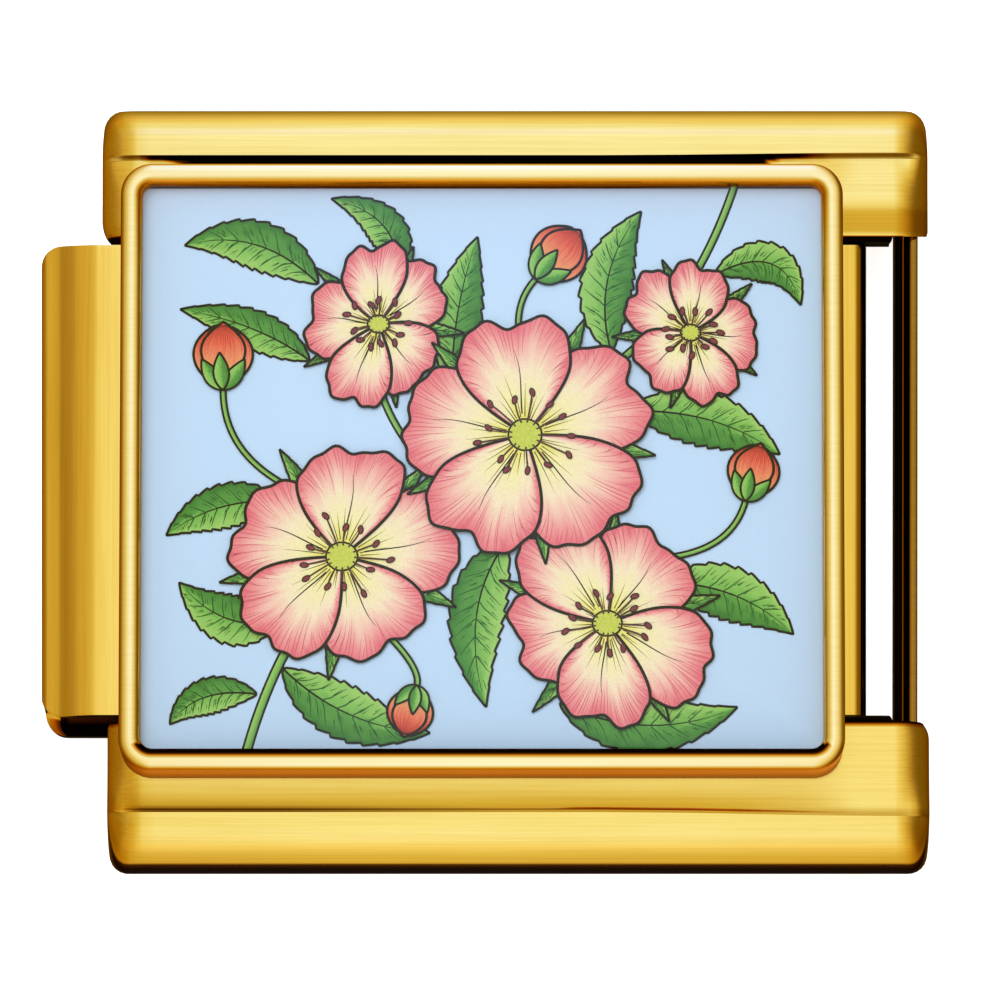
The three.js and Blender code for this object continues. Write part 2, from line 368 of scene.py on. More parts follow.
def markPoints(piece, name, amountAt):
    marks = piece.data.attributes.new(name, "FLOAT", "POINT")
    for vertex in piece.data.vertices:
        marks.data[vertex.index].value = amountAt(*(vertex.co / toMetres))


# The body: one sheet whose long edges are rolled to the front as rails.
bodyLow, bodyHigh = boxInMm("link_body")
body = {
    "sheet": 0.22,
    "beadReach": 0.495,
    # these pairs are for the rail at the picture's bottom and the one at its top
    "beadRise": (0.0, 5.5),  # degrees that the bead still climbs on its way in
    "creaseAt": (3.9, 3.82),  # y of the bead's inner edge
    "creaseFan": (0.045, 0.03),  # the rails' right ends open a little
    "fanFrom": (1.0, 4.5),
    "creaseDepth": (0.003, 0.03),
    "creaseSteps": (0.006, 0.015, 0.028, 0.042),  # from the bead's edge in
    "creaseEnds": ((-4.83, -4.55), (4.83, 4.5)),  # x where the crease is gone, and where it is full
    "joinReach": (0.55, 0.02),  # in from the bead's edge: where the leg comes up to it at the body's ends
    "legTop": boxInMm("face_tray")[0].z,
    # a leg's slope at places from the window out: distance from the middle and degrees, beside the tray
    "legSlopes": (((2.8, 0), (3.45, 3), (3.7, 5), (3.9, 10)), ((2.8, 0), (3.45, 0), (3.7, 4), (3.82, 8))),
    # and beside the window
    "earSlopes": (((2.8, 0), (3.45, 1.5), (3.7, 3), (3.9, 10)),
                  ((2.8, -4), (3.2, -4), (3.3, 3), (3.42, 7), (3.6, 7), (3.7, 5), (3.86, 5))),
    "levelAt": 3.3,  # both are level with the leg's top here
    "earStart": ((3.3, 4.1), (3.3, 3.9)),  # x over which a leg turns into an ear
    "legBend": 0.09,
    "legInner": (2.755, 2.8),
    "legCut": 2.88,
    "flangeEnd": 1.7,
    "cornerRadius": 0.22,
    "cornerFrom": (3.6, 4.3),
    "endRadius": (0.42, 0.38),  # how far in the left and the right end start to round off
    "endDrop": 0.3,
    "leftCorners": ((0.12, 0.17), (0.17, 0.3)),  # bottom and top leg: how far each is rounded in x and y
    "rightCorners": ((0.24, 0.26), (0.14, 0.15)),
    "cornerReach": 0.6,
    "cornerLift": (0.045, 0.3),  # keeps the top ear's lower edge level as its end drops: how much, how far
    "short": ((0.075, 0.03), (-0.015, 0.012)),  # how much the left and the right end fall short
    "shortFrom": (0.0, 3.0),
    "plateRows": (0.0, 0.6, 1.2, 2.2, 3.2, 3.6),
    "window": (4.02, 3.2),
    "plateStart": -4.68,  # the back plate stops short between the rails
    "barStart": 4.415,
    "tabHole": (-4.26, -2.67, 1.2),
    "stations": (-4.26, -4.15, -4.0, -3.8, -3.6, -3.4, -3.0, -2.67, -2.0, -1.0, 0.0, 1.0, 2.0, 2.6, 2.8, 2.9,
                 3.0, 3.1, 3.3, 3.5, 3.7, 3.87, 4.02, 4.12, 4.22, 4.32, 4.415),
}

# How dark the painted shade in the body's folds gets, from 0 to 1, and where: x, distance from the middle, or
# how far in from the bead
bodyShade = {
    "from": (1.2, 1.5),  # z below which a leg's underside and its top get no painted shade
    "bend": (0.092, 0.075),  # reach of the painted black shade on the turned-down edge of the bottom and the top leg
    "flange": (1.86, 0.02),  # the painted black shade on the turned-down edge's inner side: z up to which, and how far past it
    "bead": 0.003,  # all that lies this near the bead's edge gets no painted shade
    # the tray's shadow fills the gap beside it and thins out to a line at both ends
    "gap": (0.03, 0.25),  # its width at the ends, and how much wider it is between them
    "gapWidens": (-4.2, -3.2),
    "gapNarrows": (2.5, 3.15),
    "gapEdge": (0.015, 0.045),
    "gapEnds": ((-4.4, -4.3), (3.3, 3.7)),
    "topEar": (0.26, 0.09, 0.12, 3.15, 3.26),  # painted shade on the top ear: how dark, where it starts past the leg's edge, where it ends
    "slope": (0.08, 0.2),  # painted shade on the bottom leg beside the tray: least, and how much more towards the crease
    "slopeAcross": (3.52, 3.86),
    "slopeFades": (2.0, 3.6),
    "bottomEar": (0.2, 0.13, 0.03),  # painted shade on the bottom ear: how dark, and where it starts and is full, in from the bead
    # painted brown shade in the creases
    "topPaintedShade": (0.03, 0.055),
    "bottomPaintedShade": (0.04, 0.12),
    "bottomPaintedShadeStarts": (-4.6, -4.3),
    "bottomPaintedShadeFades": (-3.2, 0.5, 0.8),
}


def creaseShare(x, setup):
    (leftGone, leftFull), (rightGone, rightFull) = setup["creaseEnds"]
    return min(smoothStep(leftGone, leftFull, x), smoothStep(-rightGone, -rightFull, -x))


def creaseY(x, top, setup):
    return setup["creaseAt"][top] + setup["creaseFan"][top] * smoothStep(*setup["fanFrom"], x)


def climb(y, slopes):
    # height lost out to y, down a slope that changes evenly from place to place
    lost = 0.0
    for (y0, slope0), (y1, slope1) in zip(slopes, slopes[1:]):
        if y <= y0:
            break
        share = (min(y, y1) - y0) / (y1 - y0)
        middle = slope0 + (slope1 - slope0) * share / 2
        lost += (min(y, y1) - y0) * math.tan(math.radians(middle))
    return lost


def legZ(x, y, top, setup):
    leg, ear = [climb(y, slopes) - climb(setup["levelAt"], slopes)
                for slopes in (setup["legSlopes"][top], setup["earSlopes"][top])]
    dip = leg + (ear - leg) * smoothStep(*setup["earStart"][top], x)
    edge = creaseY(x, top, setup)
    first, last = setup["joinReach"]
    joined = (1 - creaseShare(x, setup)) * smoothStep(edge - first, edge - last, y)
    return setup["legTop"] - dip * (1 - joined) + (bodyHigh.z - setup["legTop"]) * joined


def railSection(x, top, setup):
    # half of the sheet's outer side in y and z, from the back plate's middle out, round and in to the
    # turned-down edge, and after each pair the y and z of the point under it on the inner side
    depth, reach, share = bodyHigh.z, setup["beadReach"], creaseShare(x, setup)
    sheet, edgeY = setup["sheet"], creaseY(x, top, setup)
    rise = math.tan(math.radians(setup["beadRise"][top]))
    last = 90 - math.degrees(math.atan(rise * reach * 2 / depth))
    centre = (bodyHigh.y - reach, depth / 2)
    section = [(y, 0.0, y, sheet) for y in setup["plateRows"]]
    roll = arcPoints(centre, (reach, depth / 2), -90, last, 26)
    rollUnder = arcPoints(centre, (reach - sheet, depth / 2 - sheet), -90, last, 26)
    section += [outer + inner for outer, inner in zip(roll, rollUnder)]
    (startY, startZ), underLeg = roll[-1], legZ(x, edgeY, top, setup) - sheet
    for step in range(1, 5):
        y = startY + (edgeY - startY) * step / 4
        z = startZ + (startY - y) * rise * share
        section.append((y, z, y, depth - sheet + (underLeg - depth + sheet) * step / 4))
    low = underLeg + sheet - setup["creaseDepth"][top] * share
    for inward in setup["creaseSteps"]:
        section.append((edgeY - inward, low, edgeY - inward, underLeg))
    inner, bend = setup["legInner"][top], setup["legBend"]
    span = edgeY - setup["creaseSteps"][-1] - 0.01 - inner
    for step in range(20):
        beyond = span + (bend - span) * step / 19
        z = legZ(x, inner + beyond, top, setup)
        section.append((inner + beyond, z, inner + sheet + beyond * (1 - sheet / span), z - sheet))
    z = section[-1][1]
    for y, bentZ in arcPoints((inner + bend, z - bend), (bend, bend), 90, 180, 8)[1:]:
        section.append((y, bentZ, inner + sheet + (y - inner) * (1 - sheet / span), z - sheet))
    section.append((inner, setup["flangeEnd"], inner + sheet, setup["flangeEnd"]))
    return section


def bodyStations(setup):
    # the ends get more sections, where they round off
    rounding = [1 - math.cos(math.radians(11.25 * i)) for i in range(9)]
    left, right = setup["endRadius"]
    stations = list(setup["stations"])
    stations += [bodyLow.x + left * share for share in rounding]
    stations += [bodyHigh.x - right * share for share in rounding]
    return sorted(set(round(x, 4) for x in stations))


def bodyPoint(x, y, z, outerY, top, setup):
    # rounds off the body's ends, its outer corners and the inner corners of its legs
    away = min(x - bodyLow.x, bodyHigh.x - x)
    radius = setup["endRadius"][x > 0]
    share = cornerInset(away, radius) / radius
    z *= 1 - share * setup["endDrop"] / bodyHigh.z
    inX, inY = setup["leftCorners" if x < 0 else "rightCorners"][top]
    beyond = outerY - setup["legInner"][top]
    if z > bodyHigh.z / 2 and beyond < inY:
        pull = inX * cornerInset(beyond, inY) / inY * max(0.0, 1 - away / setup["cornerReach"])
        x += pull if x < 0 else -pull
    y -= cornerInset(away, setup["cornerRadius"]) * smoothStep(*setup["cornerFrom"], y)
    if top and x > 0:
        lift, liftReach = setup["cornerLift"]
        y += lift * share * (1 - smoothStep(0.0, liftReach, beyond))
    left, right = setup["short"][top]
    leftFrom, rightFrom = setup["shortFrom"]
    x += left * smoothStep(leftFrom, bodyHigh.x, -x) - right * smoothStep(rightFrom, bodyHigh.x, x)
    return x, y, z


def closeSheet(name, outer, inner, faces, material):
    # a sheet from its two sides, joined along every cut edge
    count = len(outer)
    sides = {(a, b) for face in faces for a, b in zip(face, face[1:] + face[:1])}
    rims = [(b, a, a + count, b + count) for a, b in sorted(sides) if (b, a) not in sides]
    faces = faces + [tuple(i + count for i in reversed(face)) for face in faces] + rims
    used = sorted({i for face in faces for i in face})
    order = {old: new for new, old in enumerate(used)}
    points = [(outer + inner)[i] for i in used]
    piece = makePiece(name, points, [tuple(order[i] for i in face) for face in faces], material)
    piece.data.set_sharp_from_angle(angle=math.radians(40))
    return piece


# painted shade on the body, from 0 to 1: black on the turned-down edges and their inner sides, the tray's
# painted shadow in the top rail's crease, and darker ears and a darker bottom leg beside the tray
def foldDarkness(x, y, z, setup, shade):
    top, across = y > 0, abs(y)
    inner, radius = setup["legInner"][top], setup["endRadius"][0]
    undersideFrom, topFrom = shade["from"]
    flangeTop, flangeReach = shade["flange"]
    if z > undersideFrom and inner - flangeReach < across < inner + shade["bend"][top]:
        return 1.0
    away = min(x - bodyLow.x, bodyHigh.x - x)
    flangeTop -= setup["endDrop"] * cornerInset(away, radius) / radius
    if undersideFrom < z < flangeTop and inner < across < inner + setup["sheet"] + flangeReach:
        return 1.0
    edge = creaseY(x, top, setup)
    if z < topFrom or across > edge - shade["bead"]:
        return 0.0
    ear = smoothStep(*setup["earStart"][top], x)
    inward = edge - across
    if top:
        least, more = shade["gap"]
        width = least + more * smoothStep(*shade["gapWidens"], x) * (1 - smoothStep(*shade["gapNarrows"], x))
        before, after = shade["gapEdge"]
        left, right = shade["gapEnds"]
        gap = smoothStep(*left, x) * (1 - smoothStep(width - before, width + after, inward))
        amount, near, far, fadeStart, fadeEnd = shade["topEar"]
        inEar = amount * (1 - smoothStep(fadeStart, fadeEnd, across))
        inEar *= smoothStep(inner + near, inner + far, across)
        return max(gap * (1 - smoothStep(*right, x)), inEar * ear)
    least, more = shade["slope"]
    slope = more * smoothStep(*shade["slopeAcross"], across) * (1 - smoothStep(*shade["slopeFades"], x) / 2)
    slope += least
    amount, start, end = shade["bottomEar"]
    inEar = amount * smoothStep(edge - start, edge - end, across)
    return slope + (inEar - slope) * ear


# painted brown shade in the rails' creases, from 0 to 1
def creaseShadeAmount(x, y, z, setup, shade):
    inward = creaseY(x, y > 0, setup) - abs(y)
    if z < shade["from"][1] or inward < shade["bead"]:
        return 0.0
    if y > 0:
        return (1 - smoothStep(*shade["topPaintedShade"], inward)) * creaseShare(x, setup)
    fadeStart, fadeEnd, fade = shade["bottomPaintedShadeFades"]
    amount = (1 - fade * smoothStep(fadeStart, fadeEnd, x)) * smoothStep(*shade["bottomPaintedShadeStarts"], x)
    return amount * (1 - smoothStep(*shade["bottomPaintedShade"], inward))


def makeBody(setup):
    stations = bodyStations(setup)
    sample = railSection(0.0, True, setup)
    middle = len(sample) - 1
    skins = [], []
    for x in stations:
        halves = [railSection(x, top, setup) for top in (False, True)]
        for side, skin in enumerate(skins):
            low, high = [[bodyPoint(x, *row[side * 2:side * 2 + 2], row[0], top, setup) for row in half]
                         for top, half in enumerate(halves)]
            skin += [(px, -py, pz) for px, py, pz in reversed(low[1:])] + high

    def cutAway(row, column):
        x = (stations[row] + stations[row + 1]) / 2
        index = int(abs(column + 0.5 - middle))
        y, z = [(sample[index][i] + sample[index + 1][i]) / 2 for i in (0, 1)]
        left, right, half = setup["tabHole"]
        beyondPlate = (x > setup["window"][0] or x < setup["plateStart"]) and y < setup["window"][1]
        if z < 0.01 and (beyondPlate or left < x < right and y < half):
            return True
        return z > bodyHigh.z / 2 and x > setup["barStart"] and y < setup["legCut"]

    faces = gridFaces(len(stations), 2 * middle + 1, cutAway)
    piece = closeSheet("rolledBody", *skins, faces, railGold)
    # painted shade and painted brown crease shade, as point marks that the gold plate reads
    markPoints(piece, "paintedFoldShade", lambda x, y, z: foldDarkness(x, y, z, setup, bodyShade))
    markPoints(piece, "paintedCreaseShade", lambda x, y, z: creaseShadeAmount(x, y, z, setup, bodyShade))
    settle(piece, "link", "link_body")


makeBody(body)
print("body rolled")


def bentStrip(name, path, rows, setup):
    # path is the outer skin in x and z, clockwise as seen from the picture's bottom; rows are its y places
    points = [(x, y, z) for y in rows for x, z in path]
    piece = makePiece(name, points, gridFaces(len(rows), len(path)), railGold)
    thickenSheet(piece, setup["sheet"], setup["edge"])
    return piece


# The bar that closes the window, folded double, and the tab that stops the hook.
bar = {
    "x": (4.42, 4.68),
    "z": (0.75, 1.84),
    "halfLength": 3.45,
    "sheet": 0.1,
    "edge": 0.02,
    "skew": 0.006,
    "topStrip": 0.4,  # how far down the top row of faces reaches
    "slit": (0.3, 0.012, 0.05),  # how dark the painted shade at the slit between the plies is, how wide to each side, how deep
    "topPaintedShade": (0.9, 0.03),  # how strong the painted shade on the outer ply's top is, and how far down
}
stopTab = {"x": -4.0, "bend": 0.26, "z": (1.0, 1.55), "halfWidth": 1.2, "sheet": 0.22, "edge": 0.04}


def makeBar(setup):
    (left, right), (bottom, top) = setup["x"], setup["z"]
    radius, side = (right - left) / 2, top - setup["topStrip"]
    fold = arcPoints((left + radius, bottom + radius), (radius, radius), 0, -180, 12)
    path = [(right, top), (right, side)] + fold + [(left, side), (left, top)]
    rows = [setup["halfLength"] * i / 6 for i in range(-6, 7)]
    piece = bentStrip("hemmedBar", path, rows, setup)
    slitX, outerPly = left + setup["sheet"], right - setup["sheet"] - 0.005
    slitShade, slitWidth, slitDepth = setup["slit"]
    plyShade, plyShadeDepth = setup["topPaintedShade"]

    def darkness(x, y, z):
        # painted shade: the ply next to the window is painted black, and the top of the slit between the
        # plies a lighter painted shade
        if x > outerPly:
            return 0.0
        return slitShade if abs(x - slitX) < slitWidth and z > top - slitDepth else 1.0

    markPoints(piece, "paintedFoldShade", darkness)
    # painted brown shade along the outer ply's top
    markPoints(piece, "paintedCreaseShade", lambda x, y, z: plyShade * (x > outerPly and z > top - plyShadeDepth))
    for vertex in piece.data.vertices:
        vertex.co.x += setup["skew"] * vertex.co.y
    settle(piece, "link", "link_body")


def makeStopTab(setup):
    bend = setup["bend"]
    path = [(setup["x"], z) for z in reversed(setup["z"])]
    path += arcPoints((setup["x"] - bend, bend), (bend, bend), 0, -90, 8)
    rows = [setup["halfWidth"] * share for share in (-1, -0.8, 0, 0.8, 1)]
    piece = bentStrip("stopTab", path, rows, setup)
    settle(piece, "link", "link_body")


makeBar(bar)
makeStopTab(stopTab)
print("bar and stop tab folded")


# The hook: a flat sleeve of thinner sheet, whose left end stands out of the body.
sleeveLow, sleeveHigh = boxInMm("hook_sleeve")
hook = {
    "sheet": 0.17,
    "leftRoll": 0.285,
    "rightRoll": (0.15, 0.3),  # in x and z
    # x where the sheet starts behind the face, and where it comes back to
    "hookLip": (-4.26, -4.6),
    "returnLip": 2.6,
    "frontRows": (-3.0, 0.0, 3.0),
    # the front skin falls away to the left in a soft curve, then a narrow flatter band
    "fall": ((-4.6, 1.98), (-4.88, 1.98), (-4.93, 1.977), (-4.99, 1.966), (-5.05, 1.953), (-5.12, 1.936),
             (-5.19, 1.911), (-5.26, 1.877), (-5.32, 1.843), (-5.345, 1.83), (-5.375, 1.82), (-5.42, 1.808),
             (-5.47, 1.794)),
    "edgeRound": (0.09, 0.1),
    "spread": (0.045, 0.115),  # how much wider its front and its back are, to each side
    "shift": 0.014,
    "leftSkew": (0.02, 0.006),  # the sleeve's two ends are bent a little askew
    "rightSkew": (0.0245, 0.0047),
    "skewFrom": ((4.9, 5.3), (3.5, 3.9)),
    "crossRows": (-1, -0.985, -0.95, -0.8, -0.4, 0, 0.4, 0.8, 0.95, 0.985, 1),
    "corner": 0.24,
    "edge": 0.03,
    "openEnd": (-5.36, -4.3, 1.75),  # x from and to, and z up to which its inside shows
}


def sleevePath(setup):
    left, right, low, high, roll = sleeveLow.x, sleeveHigh.x, sleeveLow.z, sleeveHigh.z, setup["leftRoll"]
    edgeX, edgeZ = setup["edgeRound"]
    path = [(x, low) for x in setup["hookLip"]]
    path += arcPoints((left + roll, low + roll), (roll, roll), -90, -180, 10)
    path += arcPoints((left + edgeX, setup["fall"][-1][1] - edgeZ), setup["edgeRound"], 180, 90, 6)
    path += list(reversed(setup["fall"]))[1:]
    path += [(x, high) for x in setup["frontRows"]]
    across, deep = setup["rightRoll"]
    path += arcPoints((right - across, high - deep), (across, deep), 90, 0, 10)
    path += arcPoints((right - across, low + deep), (across, deep), 0, -90, 10)
    path.append((setup["returnLip"], low))
    return path


def makeHook(setup):
    path, shares = sleevePath(setup), setup["crossRows"]
    leftFrom, rightFrom = setup["skewFrom"]
    points = []
    for share in shares:
        for x, z in path:
            behind = (sleeveHigh.z - z) / (sleeveHigh.z - sleeveLow.z)
            spread = setup["spread"][0] + (setup["spread"][1] - setup["spread"][0]) * behind
            halfWidth = sleeveHigh.y + spread - cornerInset(x - sleeveLow.x, setup["corner"])
            y = share * halfWidth + setup["shift"]
            left = setup["leftSkew"][0] - setup["leftSkew"][1] * y
            right = setup["rightSkew"][0] + setup["rightSkew"][1] * y
            skewed = x + left * smoothStep(*leftFrom, -x) + right * smoothStep(*rightFrom, x)
            points.append((skewed, y, z))
    piece = makePiece("hookSleeve", points, gridFaces(len(shares), len(path)), hookGold)
    thickenSheet(piece, setup["sheet"], setup["edge"])

    def darkness(x, y, z):
        # painted black shade where the open ends look into the inside, and on the roll beside the window
        left, right, top = setup["openEnd"]
        openEnd = abs(y) > sleeveHigh.y - 0.1 and z < top and left < x < right
        return float(openEnd or x > sleeveHigh.x - 0.03)

    markPoints(piece, "paintedFoldShade", darkness)
    settle(piece, "hook", "hook_sleeve")


makeHook(hook)
print("hook sleeve bent")


# The spring: one strip on edge, in waves, that the hook presses together against the stop tab.
springLow, springHigh = boxInMm("wave_spring")
spring = {"waves": 2.5, "steps": 40, "sheet": 0.12, "edge": 0.025, "edgeRows": 0.3, "fixedEnd": -4.0,
          "keep": 0.81}


def makeSpringSteel():
    # bare spring strip: grey, slit edges, fine drawing lines along its length
    material, tree = newMaterial("bareSpringSteel")
    place = addNode(tree, "TexCoord").outputs["Object"]
    lines = rollingLines(tree, place, "X", {"lineSpacing": 0.03, "lineLength": 0.8})
    tone = addNode(tree, "ValToRGB", [("Fac", lines)], [(0.3, "#8E8B86"), (0.7, "#C9C6C0")])
    rough = addNode(tree, "MapRange", [("Value", lines), ("To Min", 0.25), ("To Max", 0.42)])
    bump = addNode(tree, "Bump", [("Height", lines), ("Distance", 0.0005 * toMetres)])
    showShader(tree, addNode(tree, "BsdfPrincipled", [
        ("Base Color", tone), ("Metallic", 1.0), ("Roughness", rough), ("Normal", bump)]))
    return material


def makeSpring(setup):
    half = setup["sheet"] / 2
    swing = springHigh.y - half
    start, end = springLow.x + half, springHigh.x - half
    count = int(setup["waves"] * setup["steps"])
    low, high, strip = springLow.z, springHigh.z, setup["edgeRows"]
    rows = [low, low + strip, high - strip, high]
    points = []
    for z in rows:
        for i in range(count + 1):
            turn = i / setup["steps"] * 2 * math.pi - math.pi / 2
            points.append((start + (end - start) * i / count, swing * math.sin(turn), z))
    piece = makePiece("waveSpring", points, gridFaces(len(rows), count + 1), makeSpringSteel())
    thickenSheet(piece, setup["sheet"], setup["edge"], offset=0)
    settle(piece, "link", "wave_spring")
    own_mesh(piece)


makeSpring(spring)
print("spring coiled")


def roundedLoop(centreX, halfLength, halfWidth, radius, cornerSteps=10, sideSteps=8):
    # one loop of a rounded rectangle, counter-clockwise from above, always with the same count of points
    loop = []
    for quarter in range(4):
        signX = 1 if quarter in (0, 3) else -1
        signY = 1 if quarter in (0, 1) else -1
        corner = (centreX + signX * (halfLength - radius), signY * (halfWidth - radius))
        loop.append(arcPoints(corner, (radius, radius), 90 * quarter, 90 * quarter + 90, cornerSteps))
    points = []
    for quarter in range(4):
        points += loop[quarter]
        (x0, y0), (x1, y1) = loop[quarter][-1], loop[(quarter + 1) % 4][0]
        for step in range(1, sideSteps):
            share = step / sideSteps
            points.append((x0 + (x1 - x0) * share, y0 + (y1 - y0) * share))
    return points


def loftLoops(name, loops, material):
    # skins loops of (x, y, z) points from the lowest inner one outward, up and in, and closes both ends
    columns = len(loops[0])
    points = [p for loop in loops for p in loop]
    faces = gridFaces(len(loops), columns, loop=True)
    faces.append(tuple(reversed(range(columns))))
    faces.append(tuple(range(len(points) - columns, len(points))))
    return makePiece(name, points, faces, material)


# The tray: drawn sheet with a half-round rim that stands on the rails.
trayLow, trayHigh = boxInMm("face_tray")
plateLow, plateHigh = boxInMm("print_insert")
plateTop = plateHigh.z + 0.12  # the print lies a little higher than the bare plate
trayMiddle = (trayLow.x + trayHigh.x) / 2
tray = {
    # half sizes in x and y outside and in the opening, and how far both sit towards the picture's top
    "outer": (4.19, 3.537),
    "opening": (3.945, 3.3),
    "shift": (0.04, 0.044),
    "corners": (0.36, 0.14),
    "crest": 0.1,
    "fullness": 3.0,  # 2 is a round rim, more is flatter on top
    # for each bar of the rim: how dark the painted reflection and shade on its outer and its inner flank are,
    # and the inner one's start and end
    "flanks": {"bottom": (0.4, 1.0, 0.5, 0.78), "top": (0.45, 0.5, 0.6, 0.95),
               "left": (0.42, 0.3, 0.72, 0.98), "right": (0.0, 0.15, 0.72, 0.98)},
    "foot": (0.1, 0.75),  # painted shade at the wall's foot, on the other sides and at the bottom
}


def rimProfile(setup, steps=24):
    # places across the rim from its outer wall (0) to the opening (1), and their heights
    shoulder = trayHigh.z - setup["crest"]
    profile = [(0.3, trayLow.z), (0.08, trayLow.z), (0.0, trayLow.z + 0.02)]
    profile += [(0.0, trayLow.z + (shoulder - trayLow.z) * share) for share in (0.3, 0.6, 0.9)]
    for i in range(steps + 1):
        turn = math.pi * (1 - i / steps)
        across = math.copysign(abs(math.cos(turn)) ** (2 / setup["fullness"]), math.cos(turn))
        rise = math.sin(turn) ** (2 / setup["fullness"]) if 0 < i < steps else 0.0
        profile.append(((1 + across) / 2, shoulder + setup["crest"] * rise))
    return profile + [(1.0, shoulder - 0.05), (1.02, plateTop), (0.95, plateLow.z)]


def makeTray(setup):
    profile = rimProfile(setup)
    loops = []
    for share, z in profile:
        halfLength, halfWidth = [a + (b - a) * share for a, b in zip(setup["outer"], setup["opening"])]
        shift, radius = [a + (b - a) * share for a, b in (setup["shift"], setup["corners"])]
        outline = roundedLoop(trayMiddle, halfLength, halfWidth, radius)
        loops.append([(x, y + shift, z) for x, y in outline])
    piece = loftLoops("rimmedTray", loops, trayGold)
    piece.data.set_sharp_from_angle(angle=math.radians(50))

    # painted reflection and shade: the rim's flanks are painted orange to brown where they would reflect
    # gold, darker towards the wall's foot, and the inner flank of the bar under the picture is painted black
    # as shade
    marks = piece.data.attributes.new("paintedFoldShade", "FLOAT", "POINT")
    for vertex in piece.data.vertices:
        share, z = profile[vertex.index // len(loops[0])]
        x, y = vertex.co.x / toMetres - trayMiddle, vertex.co.y / toMetres
        if abs(y) < setup["opening"][1] - 0.1:
            side = "right" if x > 0 else "left"
        else:
            side = "top" if y > 0 else "bottom"
        outer, inner, innerStart, innerEnd = setup["flanks"][side]
        down = smoothStep(trayHigh.z - 0.2, trayLow.z, z)
        outer += (setup["foot"][side == "bottom"] - outer) * down
        outer *= 1 - smoothStep(0.0, 0.2, share)
        inner *= smoothStep(innerStart, innerEnd, share)
        marks.data[vertex.index].value = max(outer, inner)
    settle(piece, "link", "face_tray")


makeTray(tray)
print("tray pressed")


# The printed plate: coated sheet with a pale blue ground.
plate = {"corner": 0.12, "bevel": 0.015, "ground": ("#C1DAF6", "#C6DEF9"), "grainSize": 0.02}


def makeInk(name, paint, shades):
    # a matt ink film: its tone breaks up a little with the print's own grain
    material, tree = newMaterial(name)
    place = addNode(tree, "TexCoord").outputs["Object"]
    speckle = addNode(tree, "TexNoise", [
        ("Vector", place), ("Scale", 1 / (plate["grainSize"] * toMetres)), ("Detail", 2.0)])
    colour = addNode(tree, "ValToRGB", [("Fac", speckle)], [(0.3, shades[0]), (0.7, shades[1])])
    if paint:
        colour = addNode(tree, "Mix", [(0, 1.0), (6, paint(tree)), (7, colour)], **multiplyColours).outputs[2]
    rough = addNode(tree, "MapRange", [("Value", speckle), ("To Min", 0.5), ("To Max", 0.65)])
    showShader(tree, addNode(tree, "BsdfPrincipled", [
        ("Base Color", colour), ("Roughness", rough), ("Specular IOR Level", 0.15)]))
    return material


def makePlate(setup):
    halfLength, halfWidth = (plateHigh.x - plateLow.x) / 2, plateHigh.y
    bevel = setup["bevel"]
    profile = [(bevel, plateLow.z), (0.0, plateLow.z + bevel), (0.0, plateTop - bevel),
               (bevel / 3, plateTop - bevel / 3), (bevel, plateTop)]
    loops = []
    for inset, z in profile:
        outline = roundedLoop(trayMiddle, halfLength - inset, halfWidth - inset, setup["corner"] - inset / 2)
        loops.append([(x, y, z) for x, y in outline])
    piece = loftLoops("printedPlate", loops, makeInk("paleBlueGroundInk", None, setup["ground"]))
    settle(piece, "link", "print_insert")


makePlate(plate)
print("plate cut")


